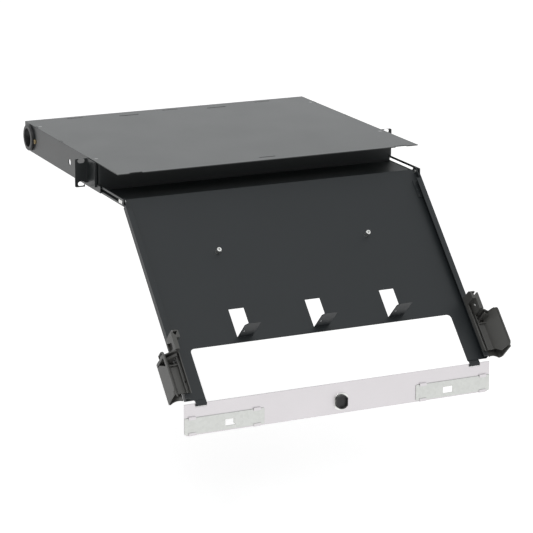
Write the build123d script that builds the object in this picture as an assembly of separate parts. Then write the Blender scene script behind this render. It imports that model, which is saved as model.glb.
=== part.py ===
from build123d import *
from math import sin, cos, atan2, radians, degrees, sqrt
import os

# Sliding fibre patch drawer, 19 inch rack, 1U, shown drawn out with its tray tilted down.
# Frame: X to the right, Y to the rear, Z up. The origin is the middle of the plane in which
# the rear faces of the two rack ears meet the rack. All sizes are in millimetres.

# Rack standard
rack_width = 482.6
ear_hole_edge = 8.75
ear_hole_pitch_z = 31.75
ear_hole_length = 10.0
ear_hole_height = 6.4

# Housing
ear_reach = 18.5
body_height = 40.6
rear_bay = 37.6
sheet = 1.2
cover_overhang = 83.0
ear_sheet = 2.0
ear_face_setback = 113.9
ear_corner_radius = 2.0
ear_leg_rise = 5.4
wall_flange = 10.0
rear_flange = 14.0
underside_inset = 1.0
lap = 0.1

# Tabs that lock the cover on the walls and the rear panel
tab_length = 8.0
tab_notch_gap = 0.9
wall_tab_insets = (151.6, 48.6)
rear_slot_inset = 24.6
rear_slot_size = (30.0, 2.6)
rear_slot_spacing = 140.0
rear_tab_inset = 11.6
rear_tab_width = 22.0
rear_tab_spacing = 150.0
front_slot_inset = 14.8
front_slot_size = (24.0, 2.4)
front_notch_inset = 25.8
front_notch_size = (18.0, 4.0)

# Small fasteners of the housing
cover_rivet_diameter = 5.0
cover_rivet_inset_x = 7.3
cover_rivet_front = 17.5
cover_rivet_rear = 45.6
ear_rivet_diameter = 4.0
ear_rivet_head = 7.0
ear_rivet_offset = 16.0
ear_rivet_places_z = (-4.6, 12.0)
rail_screw_inset = 6.0
rail_screw_diameter = 4.0
rail_screw_head = 6.4
rail_screw_head_height = 1.8
wall_tongue = 15.0
side_hole_inset = 186.7
side_hole_diameter = 9.0
rail_window = (18.0, 12.0)
rail_window_shift = (3.5, -1.2)
screw_line_z = -1.9

# Cable port in the left wall
port_inset = 20.1
port_flange_diameter = 38.0
port_flange_height = 4.0
port_bore = 27.0
port_shank_diameter = 31.0
port_nut_diameter = 33.0
port_nut_height = 5.0
port_nut_sides = 12
port_clearance = 0.15

# Slotted rails inside the walls
rail_gap = 0.8
rail_height = 9.6
rail_plate_height = 37.6
rail_plate_reach = 5.9
rail_rear_margin = 39.1
rail_front_reach = 12.0
rail_fillet = 2.0
slot_height = 4.0
slot_end_margin = 0.3

# Sliding carriage
pin_diameter = 3.8
pin_head_diameter = 5.6
pin_head_height = 0.5
pin_head_gap = 0.05
pin_tail_diameter = 4.6
pin_tail_height = 1.4
pin_fit = 0.05
running_clearance = 0.2
rail_clearance = 0.2
pivot_reach = 5.3
guide_pin_spacing = 6.0
carriage_front = 8.0
carriage_rear = 77.8
carriage_end_radius = 4.5
carriage_sheet = 1.0
carriage_strap = 22.0
carriage_upstand = 21.0
carriage_wing_height = 36.6
carriage_wing_width = 34.0

# Tray
tilt_angle = 45.5
hinge_distance = 301.7
hinge_drop = 3.6
door_gap = 0.4
tray_clearance = 0.4
tray_flange_height = 9.3
tray_lip_width = 7.6
tray_rear_edge = 4.5
tray_flange_start = 8.0
tray_lip_start = 14.0
tray_arm_gap = 5.4
arm_width = 29.2
arm_length = 71.8
cutout_radius = 6.0
window_width = 22.0
window_length = 41.0
window_gap = 8.5
window_spacing = 110.0
window_count = 3
tab_height = 34.0
tab_side_gap = 0.5
tab_chamfer = 5.0
tab_hole_diameter = 3.6
tab_hole_height = 15.0
tab_hole_inset = 4.5
standoff_place = (110.0, 90.0)
standoff_diameter = 6.4
standoff_height = 9.0
standoff_bore = 3.2
standoff_shank = 5.0

# Pivot brackets welded inside the tray
bracket_length = 42.0
bracket_height = 6.8
bracket_radius = 3.3
tray_notch_length = 8.0
bracket_foot = 9.0

# Tongues that carry the door
tongue_width = 15.0
tongue_inset = 21.2
knuckle_inner = 1.6
knuckle_wrap = 150.0

# Door
door_end_gap = 1.6
door_height = 42.1
hinge_strip = 2.6
hinge_slot_height = 2.4
hinge_slot_side_gap = 0.6
door_chamfer = 3.0
door_window = (22.0, 11.0)

# Latch plates on the door
latch_length = 111.0
latch_end_inset = 0.2
latch_top = 18.5
latch_bottom = 40.2
latch_sheet = 1.0
latch_travel = 5.5
latch_gap = 0.15
latch_window = (14.0, 8.5)
latch_window_inset = 63.2
latch_window_drop = 31.0
grip_reach = 5.0
keeper_width = 10.0
keeper_cover = 2.6
keeper_foot = 1.4
keeper_sheet = 0.8
keeper_inset = 10.4

# Plug in the double-D lock hole
plug_hole_diameter = 19.0
plug_hole_flats = 16.0
plug_drop = 25.8
plug_fit = 0.15
plug_inner_reach = 5.0
plug_flange_diameter = 22.0
plug_flange_height = 2.0
plug_barb = 1.2
plug_recess = 3.0
plug_wall = 1.6

# Cable guides
guide_length = 90.0
guide_end_gap = 3.7
guide_wall = 1.6
guide_inner_inset = 7.2
guide_ridge_top = 12.6
guide_ridge = 1.4
guide_groove = 3.6
guide_ridge_step = 1.0
guide_floor_width = 9.4
guide_outer_reach = 23.2
guide_outer_top = 32.2
guide_rim = 2.5
guide_outer_length = 60.0
guide_corner_radius = 5.0
guide_skin_setback = 5.5
guide_skin_low = -4.0
guide_skin_radius = 6.0
guide_skin_rise = 3.5
guide_skin_gap = 2.2
guide_floor_cut = 9.0
guide_front_slope = 7.0
guide_scallop = (14.0, 16.0)
relief_rear = 2.6
relief_low = (4.0, 9.0)
relief_high = (15.5, 29.5)
gate_length = 9.5
gate_rib_height = 3.2
gate_brace = 1.8
post_width = 10.8
post_length = 29.0
post_block_length = 13.0
post_heel = (5.0, 3.7)
post_slab = 5.8
post_top = 30.0
post_corner = 6.0
post_pocket = (7.4, 8.0, 14.0)
post_recess_depth = 3.6
post_recess = ((8.5, 4.0), (16.5, 22.4), (24.0, 22.4), (24.0, 4.0))
post_hole_place = (18.4, 19.5)
post_hole_diameter = 5.0
web_low = (17.1, 11.0)
guide_screw_diameter = 2.0
guide_screw_head = 3.4
guide_screw_head_height = 1.4
guide_screw_setbacks = (24.0, 66.0)
guide_screw_reach = 3.0

# Places worked out from the sizes above
body_width = rack_width - 2 * ear_reach
ear_hole_pitch_x = rack_width - 2 * ear_hole_edge
slide_travel = hinge_distance + pivot_reach - rail_front_reach - sheet / 2 - door_gap
rail_rear = guide_pin_spacing - pivot_reach + slide_travel + pin_diameter / 2 + slot_end_margin
rail_rear += rail_rear_margin
body_depth = rail_rear + rear_bay
half_width = body_width / 2
wall_inner = half_width - sheet
bottom_z = -body_height / 2
top_z = body_height / 2
ear_front_y = -ear_sheet
cover_front_y = ear_front_y - ear_face_setback
cover_rear_y = cover_front_y + body_depth
wall_front_y = cover_front_y + cover_overhang
rail_screw_y = cover_front_y + rail_rear - rail_screw_inset
port_y = cover_rear_y - port_inset
rail_outer = wall_inner - rail_gap
rail_inner = rail_outer - sheet
pivot_y = cover_front_y - pivot_reach
pivot_z = bottom_z + rail_height / 2 - 0.2
underside_z = bottom_z + underside_inset
tray_drop = pivot_z - underside_z
ear_outer = rail_inner - rail_clearance
carriage_inner = ear_outer - sheet
bracket_outer = carriage_inner - running_clearance
bracket_inner = bracket_outer - sheet
tray_half = rail_inner - tray_clearance
tray_flange_inner = tray_half - sheet
floor_top_n = -tray_drop + sheet
lip_top_n = -tray_drop + tray_flange_height
knuckle_outer = knuckle_inner + sheet
tongue_place = tray_half - tongue_inset
tray_arm_end = hinge_distance - tray_arm_gap
cutout_width = 2 * (tray_half - arm_width)
cutout_start = tray_arm_end - arm_length
window_end = cutout_start - window_gap
window_start = window_end - window_length
guide_end = hinge_distance - guide_end_gap
guide_start = guide_end - guide_length
guide_outer_start = guide_end - guide_outer_length
guide_skin_start = guide_outer_start + guide_skin_setback
guide_inner_x = tray_half - guide_inner_inset
guide_outer_x = tray_half + guide_outer_reach
guide_floor_n = lip_top_n + guide_wall
channel_x = guide_inner_x + 2 * guide_ridge + guide_groove
slope_x = channel_x + guide_floor_width
guide_screw_x = guide_inner_x + guide_ridge + guide_groove / 2
post_inner_x = guide_inner_x - lap
post_outer_x = post_inner_x + post_width
post_end = guide_start + post_length
gate_start = guide_outer_start + guide_wall
gate_end = gate_start + gate_length
door_half = half_width - door_end_gap
latch_outer = door_half - latch_end_inset
latch_inner = latch_outer - latch_length
latch_window_place = latch_outer - latch_window_inset

# On the tray, s runs from the pivot to the door and n stands out of the tray's floor
tilt_sin = sin(radians(tilt_angle))
tilt_cos = cos(radians(tilt_angle))
hinge_y = pivot_y - hinge_distance * tilt_cos + hinge_drop * tilt_sin
hinge_z = pivot_z - hinge_distance * tilt_sin - hinge_drop * tilt_cos
door_top_z = hinge_z + hinge_strip / 2


def write(name, shape):
    export_step(shape, f"parts/{name}.step")


def group(name, solids):
    write(name, Compound(children=list(solids)))


def block(x0, x1, y0, y1, z0, z1):
    # A box between two corners, in the part's frame
    return Pos((x0 + x1) / 2, (y0 + y1) / 2, (z0 + z1) / 2) * Box(
        abs(x1 - x0), abs(y1 - y0), abs(z1 - z0)
    )


def mirrored(shape):
    return mirror(shape, about=Plane.YZ)


def rod_x(x0, x1, y, z, diameter):
    # A round bar along X
    return Pos((x0 + x1) / 2, y, z) * Rot(0, 90, 0) * Cylinder(diameter / 2, abs(x1 - x0))


def rod_z(x, y, z0, z1, diameter):
    return Pos(x, y, (z0 + z1) / 2) * Cylinder(diameter / 2, abs(z1 - z0))


def rod_y(x, y0, y1, z, diameter):
    return Pos(x, (y0 + y1) / 2, z) * Rot(90, 0, 0) * Cylinder(diameter / 2, abs(y1 - y0))


def on_tray(shape):
    # Tray parts are drawn flat, with s along -Y and n along Z, and then laid on the tilted tray
    return Pos(0, pivot_y, pivot_z) * Rot(tilt_angle, 0, 0) * shape


def tray_block(x0, x1, s0, s1, n0, n1):
    return block(x0, x1, -s1, -s0, n0, n1)


def from_front(distance):
    # A distance behind the cover's front edge
    return cover_front_y + distance


def slot_cutter(y0, y1, z, height, x0, x1):
    # A round-ended slot along Y, cut through a wall that faces X
    radius = height / 2
    return (
        block(x0, x1, y0 + radius, y1 - radius, z - radius, z + radius)
        + rod_x(x0, x1, y0 + radius, z, height)
        + rod_x(x0, x1, y1 - radius, z, height)
    )


def spread(count, spacing):
    # Evenly spaced places on both sides of the middle
    first = -(count - 1) / 2
    return [(first + i) * spacing for i in range(count)]


def cover_fastener_spots():
    x = half_width - cover_rivet_inset_x
    places = (wall_front_y + cover_rivet_front, cover_rear_y - cover_rivet_rear)
    return [(side * x, y) for side in (-1, 1) for y in places]


def top_cover():
    cover = block(-half_width, half_width, cover_front_y, cover_rear_y, top_z - sheet, top_z)
    for x in spread(2, rear_slot_spacing):
        size_x, size_y = rear_slot_size
        y = cover_rear_y - rear_slot_inset
        cover -= block(x - size_x / 2, x + size_x / 2, y, y + size_y, top_z - 2 * sheet, top_z + 1)
    for x in spread(3, rear_tab_spacing):
        half = rear_tab_width / 2 + tab_notch_gap
        y = cover_rear_y - rear_tab_inset
        cover -= block(x - half, x + half, y - tab_notch_gap, y + sheet + tab_notch_gap,
                       top_z - 2 * sheet, top_z + 1)
    size_x, size_y = front_slot_size
    y = from_front(front_slot_inset)
    cover -= block(-size_x / 2, size_x / 2, y, y + size_y, top_z - 2 * sheet, top_z + 1)
    size_x, size_y = front_notch_size
    for side in (-1, 1):
        x = side * (half_width - front_notch_inset)
        cover -= block(x - size_x / 2, x + size_x / 2, cover_front_y - 1, cover_front_y + size_y,
                       top_z - 2 * sheet, top_z + 1)
        for inset in wall_tab_insets:
            half = tab_length / 2 + tab_notch_gap
            y = cover_rear_y - inset
            cover -= block(side * (half_width - sheet - tab_notch_gap), side * (half_width + 1),
                           y - half, y + half, top_z - 2 * sheet, top_z + 1)
    for x, y in cover_fastener_spots():
        cover -= rod_z(x, y, top_z - 2 * sheet, top_z + 1, cover_rivet_diameter)
    return cover


def cover_rivets():
    # Flush rivets through the cover and the flanges of the walls
    return [
        rod_z(x, y, top_z - 2 * sheet, top_z, cover_rivet_diameter)
        for x, y in cover_fastener_spots()
    ]


def ear_rivet_spots():
    y = wall_front_y + ear_rivet_offset
    return [(y, z) for z in ear_rivet_places_z]


def side_hole():
    return rod_x(wall_inner - 1, half_width + 1, cover_rear_y - side_hole_inset, screw_line_z,
                 side_hole_diameter)


def rail_window_cutter():
    # A longer window in the rail plate behind the side hole
    length, height = rail_window
    shift_y, shift_z = rail_window_shift
    y = cover_rear_y - side_hole_inset + shift_y
    return slot_cutter(y - length / 2, y + length / 2, screw_line_z + shift_z, height,
                       rail_inner - 1, rail_outer + 1)


def right_wall():
    under_cover = top_z - sheet
    wall = block(wall_inner, half_width, wall_front_y, cover_rear_y, bottom_z, under_cover)
    wall += block(wall_inner - wall_flange, wall_inner, wall_front_y, cover_rear_y - rear_flange - lap,
                  under_cover - sheet, under_cover)
    for inset in wall_tab_insets:
        y = cover_rear_y - inset
        wall += block(wall_inner, half_width, y - tab_length / 2, y + tab_length / 2,
                      under_cover, top_z)
    for x, y in cover_fastener_spots():
        wall -= rod_z(abs(x), y, under_cover - 2 * sheet, top_z, cover_rivet_diameter)
    for y, z in ear_rivet_spots():
        wall -= rod_x(wall_inner - 1, half_width + 1, y, z, ear_rivet_diameter)
    wall -= rod_x(wall_inner - 1, half_width + 1, rail_screw_y, screw_line_z,
                  rail_screw_diameter)
    return wall - side_hole()


def left_wall():
    # The left wall has the cable port, and a tongue that guards the root of the rail's arm
    wall = mirrored(right_wall())
    wall += block(-half_width, -wall_inner, wall_front_y - wall_tongue, wall_front_y, bottom_z,
                  pivot_z + rail_height / 2)
    hole = port_shank_diameter + 2 * port_clearance
    return wall - rod_x(-half_width - 1, -wall_inner + 1, port_y, 0, hole)


def rear_panel():
    under_cover = top_z - sheet
    inner_y = cover_rear_y - sheet
    panel = block(-wall_inner, wall_inner, inner_y, cover_rear_y, bottom_z, under_cover)
    panel += block(-wall_inner, wall_inner, cover_rear_y - rear_flange, cover_rear_y,
                   under_cover - sheet, under_cover)
    for x in spread(3, rear_tab_spacing):
        y = cover_rear_y - rear_tab_inset
        half = rear_tab_width / 2
        panel += block(x - half, x + half, y, y + sheet, under_cover - sheet, top_z)
    return panel


def right_rack_bracket():
    # The ear stands across the front of the rack, and its leg runs forward along the wall
    leg_bottom = bottom_z + ear_leg_rise
    ear = block(half_width, rack_width / 2, ear_front_y, 0, bottom_z, top_z - sheet)
    ear = fillet(ear.edges().filter_by(Axis.Y).group_by(Axis.X)[-1], ear_corner_radius)
    foot = ear_sheet + ear_leg_rise / 2
    ear -= block(half_width, half_width + foot, ear_front_y, 0, bottom_z, leg_bottom)
    leg = block(half_width, half_width + ear_sheet, wall_front_y, 0, leg_bottom, top_z - sheet)
    bracket = ear + leg
    for side in (-1, 1):
        z = side * ear_hole_pitch_z / 2
        x = ear_hole_pitch_x / 2
        half = (ear_hole_length - ear_hole_height) / 2
        bracket -= block(x - half, x + half, ear_front_y - 1, 1,
                         z - ear_hole_height / 2, z + ear_hole_height / 2)
        for end in (-half, half):
            bracket -= rod_y(x + end, ear_front_y - 1, 1, z, ear_hole_height)
    for y, z in ear_rivet_spots():
        bracket -= rivet_right(y, z)
    return bracket


def rivet_right(y, z):
    # A countersunk rivet from the bracket's leg through the wall and the rail plate
    outer = half_width + ear_sheet
    head_depth = (ear_rivet_head - ear_rivet_diameter) / 2
    shank = rod_x(rail_inner, outer, y, z, ear_rivet_diameter)
    head = Pos(outer - head_depth / 2, y, z) * Rot(0, 90, 0) * Cone(
        ear_rivet_diameter / 2, ear_rivet_head / 2, head_depth
    )
    return shank + head


def spacer_right(y, z, hole):
    ring = rod_x(rail_outer, wall_inner, y, z, 2 * hole)
    return ring - rod_x(rail_outer - 1, wall_inner + 1, y, z, hole)


def right_rail():
    # A plate inside the wall whose lower edge runs on as a slotted arm under the overhang
    low = pivot_z - rail_height / 2
    high = pivot_z + rail_height / 2
    arm_front = cover_front_y - rail_front_reach
    plate_front = wall_front_y - rail_plate_reach
    plate = block(rail_inner, rail_outer, plate_front, from_front(rail_rear), low,
                  low + rail_plate_height)
    arm = block(rail_inner, rail_outer, arm_front, plate_front, low, high)
    rail = plate + arm
    corner = [
        e for e in rail.edges().filter_by(Axis.X)
        if abs(e.center().Y - plate_front) < 0.1 and abs(e.center().Z - high) < 0.1
    ]
    rail = fillet(corner, rail_fillet)
    slot_front = pivot_y - pin_diameter / 2 - slot_end_margin
    slot_rear = pivot_y + guide_pin_spacing + slide_travel + pin_diameter / 2 + slot_end_margin
    rail -= slot_cutter(slot_front, slot_rear, pivot_z, slot_height, rail_inner - 1, rail_outer + 1)
    for y, z in ear_rivet_spots():
        rail -= rod_x(rail_inner - 1, rail_outer + 1, y, z, ear_rivet_diameter)
    rail -= rod_x(rail_inner - 1, rail_outer + 1, rail_screw_y, screw_line_z,
                  rail_screw_diameter)
    return rail - rail_window_cutter()


def right_spacers():
    spots = [(y, z, ear_rivet_diameter) for y, z in ear_rivet_spots()]
    spots.append((rail_screw_y, screw_line_z, rail_screw_diameter))
    return [spacer_right(*spot) for spot in spots]


def rail_screw_right():
    y = rail_screw_y
    outer = half_width + rail_screw_head_height
    screw = rod_x(rail_inner, half_width, y, screw_line_z, rail_screw_diameter)
    head = rod_x(half_width, outer, y, screw_line_z, rail_screw_head)
    head = fillet(head.edges().filter_by(GeomType.CIRCLE).group_by(Axis.X)[-1],
                  rail_screw_head_height / 3)
    slot = block(outer - rail_screw_head_height / 2, outer + 1, y - rail_screw_head,
                 y + rail_screw_head, screw_line_z - 0.5, screw_line_z + 0.5)
    return screw + head - slot


def port_bushing():
    y = port_y
    inside = -wall_inner + port_nut_height
    flange = rod_x(-half_width - port_flange_height, -half_width, y, 0, port_flange_diameter)
    flange = fillet(flange.edges().filter_by(GeomType.CIRCLE).group_by(Axis.X)[0],
                    port_flange_height / 3)
    shank = rod_x(-half_width, inside, y, 0, port_shank_diameter)
    bore = rod_x(-half_width - port_flange_height - 1, inside + 1, y, 0, port_bore)
    return flange + shank - bore


def port_locknut():
    y = port_y
    radius = port_nut_diameter / 2
    outline = RegularPolygon(radius, port_nut_sides, major_radius=False)
    nut = extrude(Plane(origin=(-wall_inner, y, 0), x_dir=(0, 1, 0), z_dir=(1, 0, 0)) * outline,
                  port_nut_height)
    hole = port_shank_diameter
    return nut - rod_x(-wall_inner - 1, -wall_inner + port_nut_height + 1, y, 0, hole)


def carriage():
    # A cross plate with an upstand along its rear edge, wings at the upstand's ends and a strap
    # forward to the pin ears, which run on the two rails
    floor_z = underside_z
    rear = from_front(carriage_rear)
    plate = block(-ear_outer, ear_outer, from_front(carriage_front), rear, floor_z,
                  floor_z + carriage_sheet)
    plate += block(-ear_outer, ear_outer, rear - carriage_sheet, rear, floor_z,
                   floor_z + carriage_upstand)
    wing = Polyline((0, carriage_upstand), (0, carriage_wing_height), (-carriage_sheet,
                    carriage_wing_height), (-carriage_wing_width, carriage_upstand), close=True)
    at_end = Plane(origin=(ear_outer, rear, floor_z), x_dir=(1, 0, 0), z_dir=(0, -1, 0))
    right_wing = extrude(at_end * make_face(wing), carriage_sheet)
    plate += [right_wing, mirrored(right_wing)]
    guide_y = pivot_y + guide_pin_spacing
    radius = carriage_end_radius
    for side in (-1, 1):
        inner, outer = side * carriage_inner, side * ear_outer
        ear = block(inner, outer, pivot_y, guide_y, pivot_z - radius, pivot_z + radius)
        for y in (pivot_y, guide_y):
            ear += rod_x(inner, outer, y, pivot_z, 2 * radius)
        ear += block(inner, outer, guide_y, guide_y + carriage_strap, floor_z,
                     pivot_z - slot_height / 2)
        plate += ear - block(inner, outer, pivot_y - 2 * radius, guide_y + 2 * radius,
                             pivot_z - 2 * radius, floor_z)
    for side in (-1, 1):
        for y in (pivot_y, guide_y):
            plate -= rod_x(side * (carriage_inner - 1), side * (ear_outer + 1), y, pivot_z,
                           pin_diameter)
    return plate


def pin_right(y, inner_face):
    # A steel pin in the rail's slot, with a thin head in the gap behind the rail
    head_inner = rail_outer + pin_head_gap
    shank = rod_x(inner_face, head_inner, y, pivot_z, pin_diameter)
    head = rod_x(head_inner, head_inner + pin_head_height, y, pivot_z, pin_head_diameter)
    return shank + head


def pivot_pins():
    # The tail is upset inside the tray's pivot bracket
    face = bracket_inner - lap
    right = pin_right(pivot_y, face)
    right += rod_x(face - pin_tail_height, face, pivot_y, pivot_z, pin_tail_diameter)
    return [mirrored(right), right]


def guide_pins():
    right = pin_right(pivot_y + guide_pin_spacing, carriage_inner)
    return [mirrored(right), right]


def tray_tab(x):
    # The tongue of sheet cut out of the window and folded up at the window's front edge
    half = window_width / 2 - tab_side_gap
    tab = tray_block(x - half, x + half, window_end, window_end + sheet, -tray_drop, tab_height)
    corner = tab.edges().filter_by(Axis.Y).group_by(Axis.Z)[-1].sort_by(Axis.X)[0]
    tab = chamfer(corner, tab_chamfer)
    hole_x = x - half + tab_hole_inset
    hole_n = floor_top_n + tab_hole_height
    return tab - rod_y(hole_x, -window_end - sheet - 1, -window_end + 1, hole_n, tab_hole_diameter)


def tongue(x):
    # The end of the arm rises and curls forward and down around the door's hinge strip
    s_arm = tray_arm_end
    rise = (hinge_distance - s_arm) * 0.45
    low, high = -tray_drop, floor_top_n
    under = -hinge_drop + knuckle_inner
    over = -hinge_drop + knuckle_outer
    end = radians(90 - knuckle_wrap)
    mid = radians(90 - knuckle_wrap / 2)
    centre_s, centre_n = hinge_distance, -hinge_drop

    def point(radius, angle):
        return (centre_s + radius * cos(angle), centre_n + radius * sin(angle))

    outline = [
        Polyline((s_arm - 2, low), (s_arm, low), (s_arm + rise, under), (centre_s, under)),
        ThreePointArc((centre_s, under), point(knuckle_inner, mid), point(knuckle_inner, end)),
        Line(point(knuckle_inner, end), point(knuckle_outer, end)),
        ThreePointArc(point(knuckle_outer, end), point(knuckle_outer, mid), (centre_s, over)),
        Polyline((centre_s, over), (s_arm + rise - 0.4, over), (s_arm - 0.4, high), (s_arm - 2, high),
                 (s_arm - 2, low)),
    ]
    face = make_face(outline)
    plane = Plane(origin=(x + tongue_width / 2, 0, 0), x_dir=(0, -1, 0), z_dir=(-1, 0, 0))
    return extrude(plane * face, tongue_width)


def tray():
    end = tray_arm_end
    body = tray_block(-tray_flange_inner, tray_flange_inner, -tray_rear_edge, end, -tray_drop,
                      floor_top_n)
    for side in (-1, 1):
        inner, outer = side * tray_flange_inner, side * tray_half
        body += tray_block(inner, outer, tray_flange_start, end, -tray_drop, lip_top_n)
        lip_inner = side * (tray_half - tray_lip_width)
        body += tray_block(lip_inner, outer, tray_lip_start, end, lip_top_n - sheet, lip_top_n)
    half = cutout_width / 2
    cutout = tray_block(-half, half, cutout_start, end + 5, -tray_drop - 1, floor_top_n + 1)
    corners = cutout.edges().filter_by(Axis.Z).group_by(Axis.Y)[-1]
    body -= fillet(corners, cutout_radius)
    for side in (-1, 1):
        body -= tray_block(side * tray_flange_inner, side * (tray_half + 1), -tray_rear_edge - 1,
                           tray_notch_length, -tray_drop - 1, floor_top_n + 1)
    for x in spread(window_count, window_spacing):
        body -= tray_block(x - window_width / 2, x + window_width / 2, window_start, window_end,
                           -tray_drop - 1, floor_top_n + 1)
    for x in spread(window_count, window_spacing):
        body += tray_tab(x)
    for x in (-tongue_place, tongue_place):
        body += tongue(x)
    x, s = standoff_place
    for side in (-1, 1):
        body -= rod_z(side * x, -s, -tray_drop - 1, floor_top_n + 1, standoff_shank)
    for x, s in guide_screw_spots():
        body -= rod_z(x, -s, lip_top_n - 2 * sheet, lip_top_n + 1, guide_screw_diameter)
    return on_tray(body)


def standoffs():
    # Clinched spacers that carry a splice tray on the drawer's floor
    x, s = standoff_place
    made = []
    for side in (-1, 1):
        top = floor_top_n + standoff_height
        body = rod_z(side * x, -s, floor_top_n, top, standoff_diameter)
        body = chamfer(body.edges().filter_by(GeomType.CIRCLE).group_by(Axis.Z)[-1], 0.5)
        body += rod_z(side * x, -s, -tray_drop, floor_top_n, standoff_shank)
        body -= rod_z(side * x, -s, -tray_drop - 1, top + 1, standoff_bore)
        made.append(on_tray(body))
    return made


def right_pivot_bracket():
    # An angle on the tray's floor whose upright holds the pivot pin
    top = floor_top_n + bracket_height
    start = -tray_rear_edge
    upright = tray_block(bracket_inner, bracket_outer, start, bracket_length, floor_top_n, top)
    upright = fillet(upright.edges().filter_by(Axis.X).group_by(Axis.Z)[-1], bracket_radius)
    foot = tray_block(bracket_inner - bracket_foot, bracket_outer, bracket_length / 3,
                      bracket_length, floor_top_n, floor_top_n + sheet)
    bracket = upright + foot
    bore = pin_diameter + 2 * pin_fit
    bracket -= rod_x(bracket_inner - 1, bracket_outer + 1, 0, 0, bore)
    return bracket


def guide_screw_spots():
    setbacks = guide_screw_setbacks
    return [(side * guide_screw_x, guide_start + back) for side in (-1, 1) for back in setbacks]


def side_profile(points, x0, x1):
    # An outline drawn in s and n, given as pairs, and carried across the guide from x0 to x1
    outline = make_face(Polyline(*points, close=True))
    return extrude(Plane(origin=(x0, 0, 0), x_dir=(0, -1, 0), z_dir=(-1, 0, 0)) * outline, x0 - x1)


def cross_section(outline, s0, s1):
    # An outline drawn in x and n, and carried down the tray from s0 to s1
    plane = Plane(origin=(0, -s0, 0), x_dir=(1, 0, 0), z_dir=(0, -1, 0))
    return extrude(plane * make_face(outline), s1 - s0)


def guide_strip_outline(outer_x):
    # The strip on the tray's lip: two low ridges with the screws in the groove between them
    first = guide_inner_x + guide_ridge
    second = first + guide_groove
    second_top = guide_ridge_top - guide_ridge_step
    return [
        (outer_x, lip_top_n),
        (guide_inner_x, lip_top_n),
        (guide_inner_x, guide_ridge_top),
        (first, guide_ridge_top),
        (first, guide_floor_n),
        (second, guide_floor_n),
        (second, second_top),
        (channel_x, second_top),
        (channel_x, guide_floor_n),
        (outer_x, guide_floor_n),
    ]


def guide_channel():
    # Strip, channel floor and the sloping wall that ends in an upright rim
    rim_low = guide_outer_top - guide_rim
    strip = guide_strip_outline(slope_x)
    wall = [
        (guide_outer_x - guide_wall, rim_low),
        (guide_outer_x - guide_wall, guide_outer_top),
        (guide_outer_x, guide_outer_top),
        (guide_outer_x, rim_low - guide_wall),
    ]
    channel = cross_section(Polyline(*strip, *wall, close=True), guide_outer_start, guide_end)
    low, high = lip_top_n - 1, guide_outer_top + 1
    floor_end = guide_end - guide_floor_cut
    slope_end = floor_end + guide_front_slope
    knee = guide_floor_n + guide_wall
    return channel - side_profile(
        [(floor_end, low), (floor_end, knee), (slope_end, knee + guide_front_slope),
         (slope_end - guide_wall, high), (guide_end + 1, high), (guide_end + 1, low)],
        guide_inner_x - 1, guide_outer_x + 1)


def guide_skin():
    # The outer skin hangs down outside the tray and curls in under it
    outer, wall, low = guide_outer_x, guide_wall, guide_skin_low
    radius = guide_skin_radius
    inner_x = tray_half + guide_skin_gap
    turn = radius * (1 - cos(radians(45)))
    inner_turn = wall + (radius - wall) * (1 - cos(radians(45)))
    top = guide_outer_top - guide_rim - wall
    outline = [
        Polyline((outer - wall, low + radius), (outer - wall, top), (outer, top),
                 (outer, low + radius)),
        ThreePointArc((outer, low + radius), (outer - turn, low + turn), (outer - radius, low)),
        Polyline((outer - radius, low), (inner_x, low + guide_skin_rise),
                 (inner_x, low + guide_skin_rise + wall), (outer - radius, low + wall)),
        ThreePointArc((outer - radius, low + wall), (outer - inner_turn, low + inner_turn),
                      (outer - wall, low + radius)),
    ]
    skin = cross_section(outline, guide_skin_start, guide_end)
    relief_start = guide_skin_start + relief_rear
    points = [(relief_start, relief_high[1]), (relief_start, low - 1)]
    points += [(guide_skin_start + relief_low[0], low - 1)]
    points += [(guide_skin_start + s, n) for s, n in (relief_low, relief_high)]
    skin -= side_profile(points, outer - radius - wall, outer + 1)
    scallop, scallop_radius = guide_scallop
    middle = guide_outer_x - scallop
    return skin - rod_z(middle, -guide_end - scallop_radius + wall * 2, low - 1, lip_top_n - wall,
                        2 * scallop_radius)


def guide_web():
    # The wall under the channel's rear end, which ties the post to the skin
    reach, low_n = web_low
    outer, low, radius = guide_outer_x, guide_skin_low, guide_skin_radius
    turn = radius * (1 - cos(radians(45)))
    outline = [
        Polyline((outer, low + radius), (outer, low_n), (post_outer_x + reach, low_n),
                 (post_outer_x, post_top - guide_rim), (post_outer_x, lip_top_n),
                 (tray_half + guide_skin_gap, lip_top_n),
                 (tray_half + guide_skin_gap, low + guide_skin_rise), (outer - radius, low)),
        ThreePointArc((outer - radius, low), (outer - turn, low + turn), (outer, low + radius)),
    ]
    return cross_section(outline, guide_skin_start - guide_wall, guide_skin_start + guide_wall)


def guide_gate():
    # An opening in the channel's floor beside the post, with a slanting brace and a front rib
    opening = tray_block(channel_x, slope_x, gate_start, gate_end, lip_top_n - 1, guide_floor_n + 1)
    run, rise = slope_x - channel_x, gate_length
    brace = Pos((channel_x + slope_x) / 2, -(gate_start + gate_end) / 2,
                (lip_top_n + guide_floor_n + gate_brace) / 2)
    brace = brace * Rot(0, 0, degrees(atan2(rise, run))) * Box(
        sqrt(run ** 2 + rise ** 2), gate_brace, guide_wall + gate_brace)
    rib = tray_block(channel_x - lap, slope_x + guide_wall, gate_end, gate_end + guide_wall,
                     lip_top_n, guide_floor_n + gate_rib_height)
    return opening, brace, rib


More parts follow.
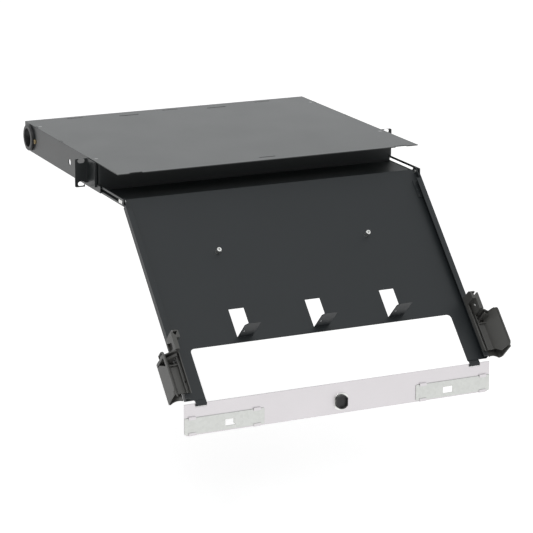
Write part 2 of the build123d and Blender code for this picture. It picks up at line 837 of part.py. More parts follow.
def guide_post():
    # A block at the rear of the guide that runs on as a slab
    inner, outer = post_inner_x, post_outer_x
    block_end = guide_start + post_block_length
    post = tray_block(inner, outer, guide_start, block_end, lip_top_n, post_top)
    rear_top = post.edges().filter_by(Axis.X).group_by(Axis.Z)[-1].sort_by(Axis.Y)[-1]
    post = fillet(rear_top, post_corner)
    post += tray_block(outer - post_slab, outer, block_end, post_end, lip_top_n, post_top)
    across, along, depth = post_pocket
    middle = (inner + outer) / 2
    pocket = Polyline((middle - across / 2, -guide_start - guide_wall - guide_rim),
                      (middle + across / 2, -guide_start - guide_wall - guide_rim),
                      (middle, -guide_start - guide_wall - along), close=True)
    post -= extrude(Pos(0, 0, post_top - depth) * make_face(pocket), depth + 1)
    recess = [(guide_start + s, n) for s, n in post_recess]
    post -= side_profile(recess, outer - post_recess_depth, outer + 1)
    hole_s, hole_n = post_hole_place
    return post - rod_x(inner - 1, outer + 1, -guide_start - hole_s, hole_n, post_hole_diameter)


def right_cable_guide():
    guide = guide_channel()
    strip = Polyline(*guide_strip_outline(post_outer_x), close=True)
    guide += cross_section(strip, guide_start, guide_outer_start)
    rims = [
        e for e in guide.edges().filter_by(Axis.X)
        if abs(e.center().Z - guide_outer_top) < 0.1 and e.center().X > slope_x
    ]
    guide = fillet(rims, guide_corner_radius)
    opening, brace, rib = guide_gate()
    guide -= opening
    for piece in (brace & opening, rib, guide_skin(), guide_web(), guide_post()):
        guide += piece
    for x, s in guide_screw_spots():
        if x > 0:
            guide -= rod_z(x, -s, lip_top_n - 1, guide_floor_n + 1, guide_screw_diameter)
    # The post's outer heel is cut back, clear of the rail's plate when the drawer is shut
    heel_length, heel_width = post_heel
    return guide - tray_block(post_outer_x - heel_width, post_outer_x + 1, guide_start - 1,
                              guide_start + heel_length, lip_top_n - 1, post_top + 1)


def guide_screws():
    made = []
    for x, s in guide_screw_spots():
        seat = guide_floor_n
        screw = rod_z(x, -s, lip_top_n - sheet - guide_screw_reach, seat, guide_screw_diameter)
        head = rod_z(x, -s, seat, seat + guide_screw_head_height, guide_screw_head)
        head = fillet(head.edges().filter_by(GeomType.CIRCLE).group_by(Axis.Z)[-1],
                      guide_screw_head_height / 3)
        made.append(on_tray(screw + head))
    return made


def door_block(x0, x1, drop0, drop1, y0, y1):
    # A box on the hanging door: drop is measured down from the door's top edge
    return block(x0, x1, hinge_y + y0, hinge_y + y1, door_top_z - drop1, door_top_z - drop0)


def keeper(x, drop, down):
    # A lanced bridge: its foot stands beside the latch plate and its lip covers the plate's edge
    front = -sheet / 2
    lip_back = front - latch_sheet - 2 * latch_gap
    lip_front = lip_back - keeper_sheet
    half = keeper_width / 2
    foot_far = drop - down * keeper_foot
    lip_near = drop + down * keeper_cover
    foot = door_block(x - half, x + half, min(drop, foot_far), max(drop, foot_far), lip_front, front)
    lip = door_block(x - half, x + half, min(foot_far, lip_near), max(foot_far, lip_near), lip_front,
                     lip_back)
    return foot + lip


def keepers(side):
    made = []
    for x in (latch_inner + keeper_inset, latch_outer - keeper_inset):
        made.append(keeper(side * x, latch_top - 2 * latch_gap, 1))
        made.append(keeper(side * x, latch_bottom + 2 * latch_gap, -1))
    return made


def double_d(diameter, flats, y0, y1):
    # A round bar along Y with two flats, left and right
    z = door_top_z - plug_drop
    bar = rod_y(0, hinge_y + y0, hinge_y + y1, z, diameter)
    return bar & block(-flats / 2, flats / 2, hinge_y + y0 - 1, hinge_y + y1 + 1,
                       z - diameter, z + diameter)


def door():
    half = door_half
    face = sheet / 2
    panel = door_block(-half, half, 0, door_height, -face, face)
    low_corners = panel.edges().filter_by(Axis.Y).group_by(Axis.Z)[0]
    panel = chamfer(low_corners, door_chamfer)
    for x in (-tongue_place, tongue_place):
        slot_half = tongue_width / 2 + hinge_slot_side_gap
        panel -= door_block(x - slot_half, x + slot_half, hinge_strip,
                            hinge_strip + hinge_slot_height, -1, 1)
    width, height = door_window
    for side in (-1, 1):
        x = side * (latch_window_place + latch_travel / 2)
        panel -= door_block(x - width / 2, x + width / 2, latch_window_drop - height / 2,
                            latch_window_drop + height / 2, -1, 1)
    panel -= double_d(plug_hole_diameter, plug_hole_flats, -1, 1)
    for side in (-1, 1):
        for piece in keepers(side):
            panel += piece
    return panel


def right_latch_plate():
    # A plate that slides behind the four keepers, with a grip bent out through the door's window
    back = -sheet / 2 - latch_gap
    front = back - latch_sheet
    plate = door_block(latch_inner, latch_outer, latch_top, latch_bottom, front, back)
    plate = fillet(plate.edges().filter_by(Axis.Y).group_by(Axis.X)[0], 1.5)
    width, height = latch_window
    x0, x1 = latch_window_place - width / 2, latch_window_place + width / 2
    drop0, drop1 = latch_window_drop - height / 2, latch_window_drop + height / 2
    plate -= door_block(x0, x1, drop0, drop1, front - 1, back + 1)
    plate += door_block(x0 - latch_sheet, x0, drop0, drop1, front, sheet / 2 + grip_reach)
    return plate


def lock_plug():
    # A cap that fills the lock hole: flange outside, hollow double-D body through to the inside
    diameter = plug_hole_diameter - 2 * plug_fit
    flats = plug_hole_flats - 2 * plug_fit
    outside = sheet / 2
    inside = -sheet / 2 - plug_inner_reach
    body = double_d(diameter, flats, inside, outside)
    z = door_top_z - plug_drop
    flange = rod_y(0, hinge_y + outside, hinge_y + outside + plug_flange_height, z,
                   plug_flange_diameter)
    flange = fillet(flange.edges().filter_by(GeomType.CIRCLE).group_by(Axis.Y)[-1],
                    plug_flange_height / 2)
    hollow = double_d(diameter - 2 * plug_wall, flats - 2 * plug_wall, inside - 1,
                      inside + plug_recess)
    rib = block(-flats / 2 + plug_wall, -flats / 2 + 2 * plug_wall, hinge_y + inside,
                hinge_y + outside, z - diameter / 3, z + diameter / 3)
    return body + flange - hollow + rib


def plug_clip():
    # A spring washer that grips the plug's body behind the door
    back = -sheet / 2
    front = back - plug_barb
    diameter = plug_hole_diameter + 4 * plug_barb
    flats = plug_hole_flats + 3 * plug_barb
    ring = double_d(diameter, flats, front, back)
    return ring - double_d(plug_hole_diameter - 2 * plug_fit, plug_hole_flats - 2 * plug_fit,
                           front - 1, back + 1)


def main():
    os.makedirs("parts", exist_ok=True)
    right_guide = right_cable_guide()
    write("top_cover", top_cover())
    group("cover_rivets", cover_rivets())
    write("left_side_wall", left_wall())
    write("right_side_wall", right_wall())
    write("rear_panel", rear_panel())
    write("left_rack_bracket", mirrored(right_rack_bracket()))
    write("right_rack_bracket", right_rack_bracket())
    rivets = [rivet_right(y, z) for y, z in ear_rivet_spots()]
    group("bracket_rivets", rivets + [mirrored(rivet) for rivet in rivets])
    write("left_slotted_rail", mirrored(right_rail()))
    write("right_slotted_rail", right_rail())
    spacers = right_spacers()
    group("rail_spacers", spacers + [mirrored(spacer) for spacer in spacers])
    group("rail_screws", [rail_screw_right(), mirrored(rail_screw_right())])
    write("cable_port_bushing", port_bushing())
    write("cable_port_locknut", port_locknut())
    write("sliding_carriage", carriage())
    group("pivot_pins", pivot_pins())
    group("guide_pins", guide_pins())
    write("tilting_tray", tray())
    write("left_pivot_bracket", on_tray(mirrored(right_pivot_bracket())))
    write("right_pivot_bracket", on_tray(right_pivot_bracket()))
    group("tray_standoffs", standoffs())
    write("left_cable_guide", on_tray(mirrored(right_guide)))
    write("right_cable_guide", on_tray(right_guide))
    group("guide_screws", guide_screws())
    write("front_door", door())
    write("left_latch_plate", mirrored(right_latch_plate()))
    write("right_latch_plate", right_latch_plate())
    write("lock_hole_plug", lock_plug())
    write("plug_clip", plug_clip())
    print("pivot", round(pivot_y, 3), round(pivot_z, 3))
    print("door hinge", round(hinge_y, 3), round(hinge_z, 3))


main()
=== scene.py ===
# %% [markdown]
# # A sliding fibre patch drawer
#
# The drawer hangs in a 19 inch rack. It is drawn out here, with its tray tilted down, so that a
# hand can reach the fibres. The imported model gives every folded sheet, pin and plate at its true
# place and size. This lesson gives them their paint, plating and plastic, adds the small formed
# details, and lights them as on a photographer's white table.

import math

import bmesh
import bpy
from mathutils import Matrix, Vector


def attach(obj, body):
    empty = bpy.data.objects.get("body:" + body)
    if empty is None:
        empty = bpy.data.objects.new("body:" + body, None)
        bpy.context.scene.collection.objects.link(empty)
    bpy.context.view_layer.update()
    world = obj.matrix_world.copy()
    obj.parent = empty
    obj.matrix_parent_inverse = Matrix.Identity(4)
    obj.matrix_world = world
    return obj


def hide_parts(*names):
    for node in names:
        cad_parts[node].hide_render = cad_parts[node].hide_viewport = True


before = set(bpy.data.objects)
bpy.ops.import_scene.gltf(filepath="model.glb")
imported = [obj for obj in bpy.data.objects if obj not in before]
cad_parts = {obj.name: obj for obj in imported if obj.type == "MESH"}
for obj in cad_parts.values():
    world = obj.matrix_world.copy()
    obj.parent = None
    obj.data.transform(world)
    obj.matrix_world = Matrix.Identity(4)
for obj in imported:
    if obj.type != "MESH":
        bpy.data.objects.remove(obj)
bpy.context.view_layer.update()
scene = bpy.context.scene

# %% [markdown]
# ## Writing a finish as arithmetic
#
# A shader is a small sum: a colour times some noise, a roughness plus a scratch. Wiring Math nodes
# by hand hides that sum, so one class wraps an output socket and lets Python's own operators add
# the nodes. Colours go through a Mix node instead, because a Math node would turn them grey.

# %% Sockets that do arithmetic
class Wire:
    """An output socket of a node tree. Operators on it add Math nodes beside it."""

    def __init__(self, nodes, socket):
        self.nodes = nodes
        self.socket = socket

    def join(self, operation, first, second):
        return self.nodes.node("ShaderNodeMath", {"operation": operation}, {0: first, 1: second})

    def __add__(self, other):
        return self.join("ADD", self, other)

    def __radd__(self, other):
        return self.join("ADD", other, self)

    def __mul__(self, other):
        return self.join("MULTIPLY", self, other)

    def __rmul__(self, other):
        return self.join("MULTIPLY", other, self)


print("operators of a wire: add, multiply")

# %% [markdown]
# ## One way to add a node
#
# A material and the world are both trees of nodes. One method adds a node to either: it takes the
# node's type, its settings, and the values or wires of its sockets. A finish is such a tree that
# starts from the Principled shader.

# %% Node trees and finishes
class Nodes:
    """A node tree, with one way to add a node and fill its sockets."""

    def __init__(self, tree):
        self.tree = tree

    def node(self, kind, settings=None, sockets=None, out=0):
        made = self.tree.nodes.new(kind)
        for name, value in (settings or {}).items():
            setattr(made, name, value)
        for key, value in (sockets or {}).items():
            self.feed(made.inputs[key], value)
        return Wire(self, made.outputs[out])

    def feed(self, socket, value):
        if isinstance(value, Wire):
            self.tree.links.new(value.socket, socket)
        else:
            socket.default_value = value


class Finish(Nodes):
    """A material with its Principled shader, ready to be wired."""

    def __init__(self, name, **constants):
        self.material = bpy.data.materials.new(name)
        self.material.use_nodes = True
        super().__init__(self.material.node_tree)
        self.shader = next(n for n in self.tree.nodes if n.type == "BSDF_PRINCIPLED")
        for socket, value in constants.items():
            title = "IOR" if socket == "ior" else socket.replace("_", " ").title()
            self.shader.inputs[title].default_value = value

    def set(self, name, value):
        self.feed(self.shader.inputs[name], value)


print("a finish starts from", Finish.__base__.__name__)

# %% [markdown]
# ## Places and edges on a finish
#
# Every pattern is laid out in the drawer's own metres, by the object's coordinates, so that a
# grain keeps its real size on a wide cover and on a small bracket alike. Folded sheet and moulded
# plastic have no razor edges, so the shading normal turns over each edge within a small radius.
# That costs no faces, where a bevel on every edge would.

# %% Grain and edge helpers
def place_on(finish, stretch=(1.0, 1.0, 1.0)):
    """Object coordinates in metres, each axis multiplied by its own stretch."""
    where = finish.node("ShaderNodeTexCoord", out="Object")
    return finish.node("ShaderNodeVectorMath", {"operation": "MULTIPLY"}, {0: where, 1: stretch})


def grain(finish, per_metre, detail=3.0, stretch=(1.0, 1.0, 1.0)):
    """Noise from 0 to 1 with that many cells to the metre."""
    where = place_on(finish, stretch)
    sockets = {"Vector": where, "Scale": per_metre, "Detail": detail, "Roughness": 0.5}
    return finish.node("ShaderNodeTexNoise", {}, sockets)


def blend_colours(finish, share, first, second):
    sockets = {0: share, 6: (*first, 1.0), 7: (*second, 1.0)}
    return finish.node("ShaderNodeMix", {"data_type": "RGBA"}, sockets, out=2)


def soft_edge(finish, radius):
    """A normal that turns over each sharp edge within that radius in metres."""
    return finish.node("ShaderNodeBevel", {"samples": 8}, {"Radius": radius})


def emboss(finish, height, depth, edge):
    """Bump of that depth in metres, laid over edges softened by the radius edge."""
    sockets = {"Height": height, "Distance": depth, "Normal": soft_edge(finish, edge)}
    finish.set("Normal", finish.node("ShaderNodeBump", {}, sockets))


coat_edge, plate_edge, plating_edge, plastic_edge = 0.0005, 0.0003, 0.0002, 0.0006
print("edge radii in metres", coat_edge, plate_edge, plating_edge, plastic_edge)

# %% [markdown]
# ## Powder coat
#
# The housing and the tray are steel sheet under black powder coat. Seen along its surface it
# turns mid grey, and seen face on it stays nearly black. That change is the coat's own gloss, so
# the colour is dark everywhere and a moderate roughness does the rest. The melted powder leaves a
# fine orange-peel skin, which is a bump with cells of about a millimetre. The housing's coat comes
# in two roughnesses, the duller one for the carriage, and the tray's is a little lighter.

# %% Powder coat
def powder_coat(name, dark, light, rough, ior):
    coat = Finish(name, ior=ior)
    cloud = grain(coat, 14.0, 4.0)
    speck = grain(coat, 700.0, 2.0)
    coat.set("Base Color", blend_colours(coat, cloud, dark, light))
    coat.set("Roughness", rough - 0.03 + 0.06 * cloud + 0.05 * speck)
    peel = grain(coat, 900.0, 1.0)
    emboss(coat, peel, 0.00006, coat_edge)
    return coat.material


housing_black, housing_black_light = (0.009, 0.0112, 0.0118), (0.013, 0.0156, 0.0163)
tray_black, tray_black_light = (0.011, 0.0138, 0.0156), (0.015, 0.0183, 0.0206)
housing_coat = powder_coat("housing_powder_coat", housing_black, housing_black_light, 0.30, 1.45)
carriage_coat = powder_coat("carriage_powder_coat", housing_black, housing_black_light, 0.45, 1.40)
tray_coat = powder_coat("tray_powder_coat", tray_black, tray_black_light, 0.44, 1.44)
print("powder coats", [coat.name for coat in (housing_coat, carriage_coat, tray_coat)])

# %% [markdown]
# ## Door and latch plates
#
# The door is bright satin metal with the faint lines of the rolling mill along its length. The
# latch plates are zinc plated: a little greener, with a soft crystal pattern. The same plating is
# brighter on the pins, the spacers and the standoffs, and duller on the cover's rivets.

# %% Satin door metal
def rolled_metal(name, dark, light, rough):
    metal = Finish(name, metallic=1.0)
    lines = grain(metal, 1.0, 4.0, (6.0, 1500.0, 1500.0))
    cloud = grain(metal, 20.0, 3.0)
    metal.set("Base Color", blend_colours(metal, cloud, dark, light))
    metal.set("Roughness", rough + 0.10 * lines + 0.05 * cloud)
    emboss(metal, lines, 0.00002, plate_edge)
    return metal.material


door_metal = rolled_metal("satin_door_metal", (0.615, 0.592, 0.606), (0.665, 0.640, 0.655), 0.30)
print("door finish", door_metal.name)


# %% Zinc plating
def zinc_plating(name, dark, light, rough):
    zinc = Finish(name, metallic=1.0)
    cells = zinc.node("ShaderNodeTexVoronoi", {"feature": "F1"},
                      {"Vector": place_on(zinc), "Scale": 260.0}, out="Color")
    crystal = zinc.node("ShaderNodeSeparateColor", {}, {0: cells})
    zinc.set("Base Color", blend_colours(zinc, crystal, dark, light))
    zinc.set("Roughness", rough + 0.10 * crystal)
    zinc.set("Normal", soft_edge(zinc, plate_edge))
    return zinc.material


latch_zinc = zinc_plating("latch_zinc", (0.545, 0.555, 0.535), (0.60, 0.61, 0.59), 0.30)
bright_zinc = zinc_plating("bright_zinc", (0.66, 0.66, 0.64), (0.78, 0.78, 0.76), 0.22)
dull_zinc = zinc_plating("dull_zinc", (0.30, 0.30, 0.29), (0.40, 0.40, 0.39), 0.36)
print("zinc platings", [zinc.name for zinc in (latch_zinc, bright_zinc, dull_zinc)])

# %% [markdown]
# ## Brass, black zinc and plastics
#
# The screws low on the walls are turned brass, and the screws of the cable guides are black zinc.
# The guides are moulded in a dark olive plastic with a spark-eroded skin, and the port ring and the
# lock plug are plain black nylon.

# %% Turned brass and black zinc
def mottled_metal(name, cells, dark, light, rough, spread, edge):
    """Plain metal whose colour and roughness follow one mottle."""
    metal = Finish(name, metallic=1.0)
    mottle = grain(metal, cells, 3.0)
    metal.set("Base Color", blend_colours(metal, mottle, dark, light))
    metal.set("Roughness", rough + spread * mottle)
    metal.set("Normal", soft_edge(metal, edge))
    return metal.material


brass_finish = mottled_metal("turned_brass", 300.0, (0.22, 0.165, 0.08), (0.40, 0.31, 0.16),
                             0.32, 0.16, plate_edge)
black_zinc = mottled_metal("black_zinc_plating", 500.0, (0.035, 0.034, 0.032), (0.07, 0.068, 0.063),
                           0.30, 0.15, plating_edge)
print("screw finishes", brass_finish.name, black_zinc.name)


# %% Moulded plastics
def moulded(name, dark, light, rough, skin):
    plastic = Finish(name)
    cloud = grain(plastic, 40.0, 3.0)
    texture = grain(plastic, 2600.0, 2.0)
    plastic.set("Base Color", blend_colours(plastic, cloud, dark, light))
    plastic.set("Roughness", rough + 0.08 * texture)
    emboss(plastic, texture, skin, plastic_edge)
    return plastic.material


guide_plastic = moulded("olive_black_plastic", (0.066, 0.0655, 0.0615), (0.080, 0.0792, 0.0745),
                        0.40, 0.00005)
black_nylon = moulded("black_nylon", (0.012, 0.012, 0.013), (0.018, 0.018, 0.019), 0.42, 0.00003)
print("plastics", guide_plastic.name, black_nylon.name)

# %% [markdown]
# ## Dressing the CAD nodes
#
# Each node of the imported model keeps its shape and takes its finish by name.

# %% Finishes by node
finish_of = {
    "top_cover": housing_coat, "left_side_wall": housing_coat, "right_side_wall": housing_coat,
    "rear_panel": housing_coat, "left_rack_bracket": housing_coat, "right_rack_bracket": housing_coat,
    "cover_rivets": dull_zinc, "left_slotted_rail": housing_coat, "right_slotted_rail": housing_coat,
    "sliding_carriage": carriage_coat, "left_pivot_bracket": tray_coat, "right_pivot_bracket": tray_coat,
    "tilting_tray": tray_coat, "cable_port_bushing": black_nylon, "cable_port_locknut": black_nylon,
    "lock_hole_plug": black_nylon, "left_cable_guide": guide_plastic, "right_cable_guide": guide_plastic,
    "bracket_rivets": housing_coat, "rail_spacers": bright_zinc, "tray_standoffs": bright_zinc,
    "guide_screws": black_zinc, "plug_clip": bright_zinc, "rail_screws": brass_finish,
    "pivot_pins": bright_zinc, "guide_pins": bright_zinc, "front_door": door_metal,
    "left_latch_plate": latch_zinc, "right_latch_plate": latch_zinc,
}
for name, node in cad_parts.items():
    node.data.materials.clear()
    node.data.materials.append(finish_of[name])
print("finished nodes", len(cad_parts))

# %% [markdown]
# ## Round faces
#
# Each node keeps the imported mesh. Bores and bends are made of narrow facets there, so their
# shading is smoothed, and an edge sharper than 35 degrees stays an edge.

# %% Smooth the round faces
sharp_edge = math.radians(35)
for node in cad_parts.values():
    node.data.shade_smooth()
    node.data.set_sharp_from_angle(angle=sharp_edge)
print("smoothed nodes", len(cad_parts))

# %% [markdown]
# ## Places on the tilted tray
#
# The tray hangs at 45.5 degrees from its pivot pins. A matrix carries a piece that is drawn flat,
# with its height along Z, onto the tray's own slope, so a screw can be turned upright first.

# %% Tray places
pivot_y, pivot_z = -0.1212, -0.0157
tray_slope = math.radians(45.5)
tray_turn = Matrix.Translation((0.0, pivot_y, pivot_z)) @ Matrix.Rotation(tray_slope, 4, "X")


def on_tray(across, down, out):
    """Metres across the tray, down it from the pivot and out of its floor."""
    return tray_turn @ Matrix.Translation((across, -down, out))


def add_piece(name, shape, finish, body):
    mesh = bpy.data.meshes.new(name)
    bmesh.ops.recalc_face_normals(shape, faces=shape.faces)
    shape.to_mesh(mesh)
    shape.free()
    mesh.materials.append(finish)
    piece = bpy.data.objects.new(name, mesh)
    scene.collection.objects.link(piece)
    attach(piece, body)
    return piece


print("tray pivot", pivot_y, pivot_z, "slope", round(math.degrees(tray_slope), 1))

# %% [markdown]
# ## Turned shapes and threads
#
# Screws and weld marks are round, so one half outline spun about an axis gives them. A thread is a
# three-cornered ridge that climbs as it goes round. Both are written as loops over angles, because
# a spin in plain vertices shows the reader each ring.

# %% Spin an outline and wind a thread
millimetre = 0.001
ridge_half = 0.35


def spin(shape, outline, place, steps=40):
    """Outline: pairs of radius and height in millimetres, from the axis to the axis or the rim."""
    rings = []
    for radius, height in outline:
        if radius == 0:
            rings.append([shape.verts.new(place @ Vector((0, 0, height * millimetre)))])
            continue
        ring = []
        for i in range(steps):
            turn = math.tau * i / steps
            spot = Vector((radius * math.cos(turn), radius * math.sin(turn), height)) * millimetre
            ring.append(shape.verts.new(place @ spot))
        rings.append(ring)
    for low, high in zip(rings, rings[1:]):
        for i in range(steps):
            corners = [low[i % len(low)], low[(i + 1) % len(low)],
                       high[(i + 1) % len(high)], high[i % len(high)]]
            shape.faces.new(list(dict.fromkeys(corners)))


def wind_thread(shape, root, crest, low, high, pitch, place, steps=28):
    """A ridge from the root radius to the crest radius, all in millimetres."""
    rows = []
    for i in range(int((high - low) / pitch * steps) + 1):
        turn = math.tau * i / steps
        height = low + pitch * i / steps
        row = []
        for radius, lift in ((root, -ridge_half), (crest, 0.0), (root, ridge_half)):
            spot = Vector((radius * math.cos(turn), radius * math.sin(turn), height + lift * pitch))
            row.append(shape.verts.new(place @ (spot * millimetre)))
        rows.append(row)
    for before, after in zip(rows, rows[1:]):
        for i in range(2):
            shape.faces.new((before[i], before[i + 1], after[i + 1], after[i]))
        shape.faces.new((before[2], before[0], after[0], after[2]))


print("half a thread's ridge is", ridge_half, "of its pitch")

# %% [markdown]
# ## Guide screws
#
# Four small pan-head screws hold the cable guides on the tray's lips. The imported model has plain
# round heads. Here each head is domed, with a cross cut by a Boolean modifier that is made real,
# and the end that stands out under the lip has its thread.

# %% A cross recess for any screw head
cross_length, cross_width, cross_height, cross_turn = 1.9, 0.42, 1.5, 0.3
width_difference = 0.01


def cross_cutter(places, depth):
    """Two crossed blades, in millimetres, over each place, one a hair wider than the other."""
    shape = bmesh.new()
    for place in places:
        for quarter in range(2):
            turned = place @ Matrix.Rotation(math.pi / 2 * quarter + cross_turn, 4, "Z")
            width = cross_width + width_difference * quarter
            size = Matrix.Diagonal((cross_length, width, depth, 1.0 / millimetre)) * millimetre
            spot = turned @ Matrix.Translation((0, 0, cross_height * millimetre))
            bmesh.ops.create_cube(shape, size=1.0, matrix=spot @ size)
    mesh = bpy.data.meshes.new("cross_cutter")
    shape.to_mesh(mesh)
    shape.free()
    cutter = bpy.data.objects.new("cross_cutter", mesh)
    scene.collection.objects.link(cutter)
    return cutter


def cut_with(piece, cutter):
    """Make the Boolean difference real and drop the cutter. The blades cross, hence use_self."""
    cut = piece.modifiers.new("cut", "BOOLEAN")
    cut.operation = "DIFFERENCE"
    cut.use_self = True
    cut.object = cutter
    bpy.context.view_layer.update()
    now = bpy.context.evaluated_depsgraph_get()
    solid = bpy.data.meshes.new_from_object(piece.evaluated_get(now))
    piece.modifiers.clear()
    piece.data = solid
    bpy.data.objects.remove(cutter)


print("cross recess", cross_length, "by", cross_width, "mm")

# %% Screws of the cable guides
screw_outline = ((0, 1.4), (0.55, 1.39), (1.05, 1.28), (1.45, 0.98), (1.66, 0.55), (1.7, 0.25),
                 (1.66, 0.0), (0.8, 0.0), (0.8, -5.5), (0.5, -5.8), (0, -5.8))
screw_x, screw_out, screw_rows = 0.2152, 0.0073, (0.232, 0.274)
recess_depth = 1.6
screw_places = [on_tray(side * screw_x, down, screw_out) for side in (-1, 1) for down in screw_rows]
screw_shape = bmesh.new()
for place in screw_places:
    spin(screw_shape, screw_outline, place)
guide_screws = add_piece("guide_pan_screws", screw_shape, black_zinc, "tray")
cut_with(guide_screws, cross_cutter(screw_places, recess_depth))
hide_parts("guide_screws")
print("guide screws", len(screw_places), "vertices", len(guide_screws.data.vertices))

# %% Threads of the guide screws
thread_shape = bmesh.new()
for place in screw_places:
    wind_thread(thread_shape, root=0.78, crest=1.0, low=-5.3, high=-3.1, pitch=0.4, place=place)
screw_threads = add_piece("guide_screw_threads", thread_shape, black_zinc, "tray")
print("screw threads, faces", len(screw_threads.data.polygons))

# %% [markdown]
# ## Threads in the standoffs
#
# The two clinched standoffs take the screws of a splice tray. A thread inside each bore, with a
# pitch of 0.7 mm, catches light in the dark hole.

# %% Standoff threads
standoff_x, standoff_down = 0.110, 0.090
standoff_shape = bmesh.new()
for side in (-1, 1):
    place = on_tray(side * standoff_x, standoff_down, 0.0)
    wind_thread(standoff_shape, root=1.6, crest=1.36, low=-2.0, high=6.2, pitch=0.7, place=place)
standoff_threads = add_piece("standoff_threads", standoff_shape, bright_zinc, "tray")
print("standoff threads, faces", len(standoff_threads.data.polygons))

# %% [markdown]
# ## Shoulders of the cable guides
#
# At its rear each guide's outer skin bulges back a little, and a notched web and a small floor tie
# it to the post. All are flat pieces, so one function draws any outline and gives it a thickness.

# %% A flat piece from its outline
def slab(shape, corners, thickness):
    """Corners are matrices of places on one face. The other face lies off by the vector."""
    near = [shape.verts.new(place.translation) for place in corners]
    far = [shape.verts.new(place.translation + thickness) for place in corners]
    shape.faces.new(near)
    shape.faces.new(far[::-1])
    for i, corner in enumerate(near):
        after = (i + 1) % len(near)
        shape.faces.new((near[after], corner, far[i], far[after]))


tray_origin = on_tray(0, 0, 0).translation
print("the tray's origin lies at", [round(v, 4) for v in tray_origin])

# %% Guide shoulders
skin_x, skin_wall = 0.24235, 0.0015
skin_outline = ((0.2462, 0.0090), (0.2447, 0.0093), (0.2415, 0.0153), (0.2407, 0.0214),
                (0.2411, 0.0250), (0.2422, 0.0280), (0.2462, 0.0290))
web_down, web_wall = 0.2366, 0.0020
web_outline = ((0.2217, 0.0035), (0.2217, 0.0280), (0.2265, 0.0250), (0.2305, 0.0215),
               (0.2350, 0.0180), (0.2366, 0.0210), (0.2380, 0.0240), (0.2400, 0.0262),
               (0.2423, 0.0250), (0.2423, 0.0140), (0.2400, 0.0090), (0.2290, 0.0035))
floor_out, floor_wall = 0.0035, 0.0010
floor_outline = ((0.2217, 0.2384), (0.2290, 0.2384), (0.2290, 0.2500), (0.2217, 0.2500))
down_slope = on_tray(0, web_wall, 0).translation - tray_origin
outwards = on_tray(0, 0, floor_wall).translation - tray_origin
shoulder_shape = bmesh.new()
for side in (-1, 1):
    inwards = Vector((-side * skin_wall, 0, 0))
    slab(shoulder_shape, [on_tray(side * skin_x, s, n) for s, n in skin_outline], inwards)
    slab(shoulder_shape, [on_tray(side * x, web_down, n) for x, n in web_outline], down_slope)
    slab(shoulder_shape, [on_tray(side * x, s, floor_out) for x, s in floor_outline], outwards)
shoulders = add_piece("guide_shoulders", shoulder_shape, guide_plastic, "tray")
print("guide shoulders, faces", len(shoulders.data.polygons))

# %% [markdown]
# ## Spot welds
#
# The feet of the pivot brackets are welded to the tray's floor, and each weld leaves a shallow
# dished ring in the foot, under the paint. The rings are spun outlines a fifth of a millimetre high.

# %% Weld marks on the bracket feet
weld_outline = ((0, 0.02), (1.3, 0.03), (1.7, 0.16), (2.1, 0.18), (2.5, 0.0))
weld_x, weld_rows, foot_top = 0.2120, (0.019, 0.028, 0.037), -0.0012
weld_shape = bmesh.new()
for side in (-1, 1):
    for down in weld_rows:
        spin(weld_shape, weld_outline, on_tray(side * weld_x, down, foot_top))
add_piece("bracket_spot_welds", weld_shape, tray_coat, "tray")
print("spot welds", 2 * len(weld_rows))

# %% [markdown]
# ## The white table
#
# The floor and the world look white to the camera and to anything glossy, and dimmer to the rest,
# so that the black coat stays black and still mirrors a white studio. The floor keeps the lamps'
# shadow: to the camera it adds a glow of its own to its lit paint. It is well below the drawer,
# which its ears hold in the rack, so the shadow on it is faint and soft.

# %% Rays that should meet white
def looking_rays(nodes):
    """1 for a ray from the camera, off a gloss or through glass, and 0 for stray light."""
    kinds = ("Is Camera Ray", "Is Glossy Ray", "Is Transmission Ray")
    camera, glossy, through = [nodes.node("ShaderNodeLightPath", out=kind) for kind in kinds]
    return camera + glossy + through


table_level, table_width = -0.50, 30.0
table_white, table_glow = (0.82, 0.82, 0.82, 1.0), 0.66


# %% Floor
def white_table(level, width):
    half = width / 2
    corners = [(-half, -half, level), (half, -half, level), (half, half, level), (-half, half, level)]
    mesh = bpy.data.meshes.new("studio_floor")
    mesh.from_pydata(corners, [], [(0, 1, 2, 3)])
    floor = bpy.data.objects.new("studio_floor", mesh)
    scene.collection.objects.link(floor)
    paint = Finish("table_paint", base_color=table_white, roughness=0.9)
    lit = Wire(paint, paint.shader.outputs[0])
    glow = paint.node("ShaderNodeEmission", {}, {"Strength": table_glow})
    both = paint.node("ShaderNodeAddShader", {}, {0: glow, 1: lit})
    mixed = paint.node("ShaderNodeMixShader", {}, {0: looking_rays(paint), 1: lit, 2: both})
    output = next(n for n in paint.tree.nodes if n.type == "OUTPUT_MATERIAL")
    paint.feed(output.inputs["Surface"], mixed)
    mesh.materials.append(paint.material)
    return floor


table = white_table(table_level, table_width)
print("table", table.name, "width", table_width)


# %% World
def white_world(fill, seen_colour):
    """The fill lights the object. The seen colour shows at a strength of 1."""
    world = bpy.data.worlds.new("white_studio")
    scene.world = world
    world.use_nodes = True
    world.node_tree.nodes.clear()
    sky = Nodes(world.node_tree)
    dim = sky.node("ShaderNodeBackground", {}, {"Color": (1.0, 1.0, 1.0, 1.0), "Strength": fill})
    seen = sky.node("ShaderNodeBackground", {}, {"Color": seen_colour, "Strength": 1.0})
    mixed = sky.node("ShaderNodeMixShader", {}, {0: looking_rays(sky), 1: dim, 2: seen})
    output = sky.tree.nodes.new("ShaderNodeOutputWorld")
    sky.feed(output.inputs["Surface"], mixed)


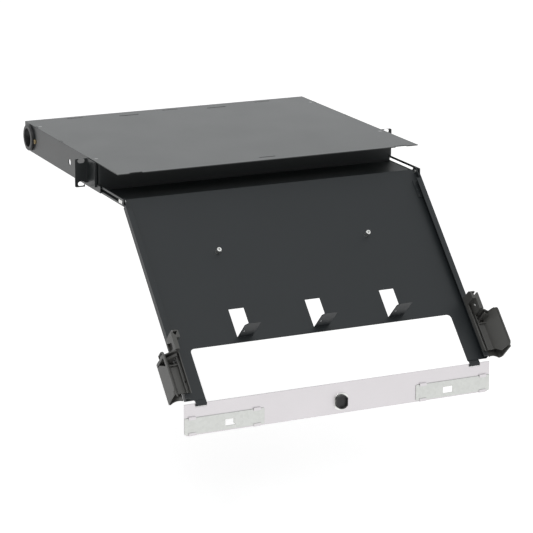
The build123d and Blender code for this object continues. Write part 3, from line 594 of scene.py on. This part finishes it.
world_fill = 0.45
cool_white = (0.975, 0.995, 1.0, 1.0)
white_world(world_fill, cool_white)
print("world", scene.world.name, "fill", world_fill)

# %% [markdown]
# ## Lamps
#
# One large soft lamp stands high at the left front, where the lit left faces show that it stood,
# and a weak one, low at the left, opens the shadows of the left wall.

# %% Soft lamps
def soft_lamp(name, place, size, power):
    """A square lamp that looks at the middle of the drawer."""
    data = bpy.data.lights.new(name, "AREA")
    data.shape = "RECTANGLE"
    data.size = size
    data.size_y = size
    data.energy = power
    lamp = bpy.data.objects.new(name, data)
    lamp.location = place
    lamp.rotation_mode = "QUATERNION"
    lamp.rotation_quaternion = (lamp_target - Vector(place)).to_track_quat("-Z", "Y")
    scene.collection.objects.link(lamp)
    return lamp


lamp_target = Vector((0.0, -0.1, -0.1))
key_lamp = soft_lamp("key_lamp", (-0.9, -2.3, 2.6), 1.8, 36.0)
side_lamp = soft_lamp("side_lamp", (-2.8, -0.9, 0.9), 1.4, 2.0)
print("lamps in watts", key_lamp.data.energy, side_lamp.data.energy)

# %% [markdown]
# ## The camera
#
# The photograph was taken with a long lens from the left front, a little above. The place, the
# turn and the focal length were solved from the rack's standard sizes and the drawer's straight
# edges, so the render falls on the same outline.

# %% Camera
def photo_camera(place, azimuth, elevation, roll, lens):
    data = bpy.data.cameras.new("photo_camera")
    data.lens = lens
    data.sensor_width = 36.0
    data.clip_start = 0.1
    data.clip_end = 100.0
    camera = bpy.data.objects.new("photo_camera", data)
    turn = Matrix.Rotation(-math.radians(azimuth), 4, "Z")
    turn = turn @ Matrix.Rotation(math.radians(90 - elevation), 4, "X")
    turn = turn @ Matrix.Rotation(math.radians(roll), 4, "Z")
    camera.matrix_world = Matrix.Translation(place) @ turn
    scene.collection.objects.link(camera)
    scene.camera = camera


photo_camera((-1.2920, -2.9043, 0.7210), azimuth=24.72, elevation=15.48, roll=0.12, lens=157.49)
scene.view_settings.view_transform = "Standard"
print("camera lens", round(scene.camera.data.lens, 2), "mm")
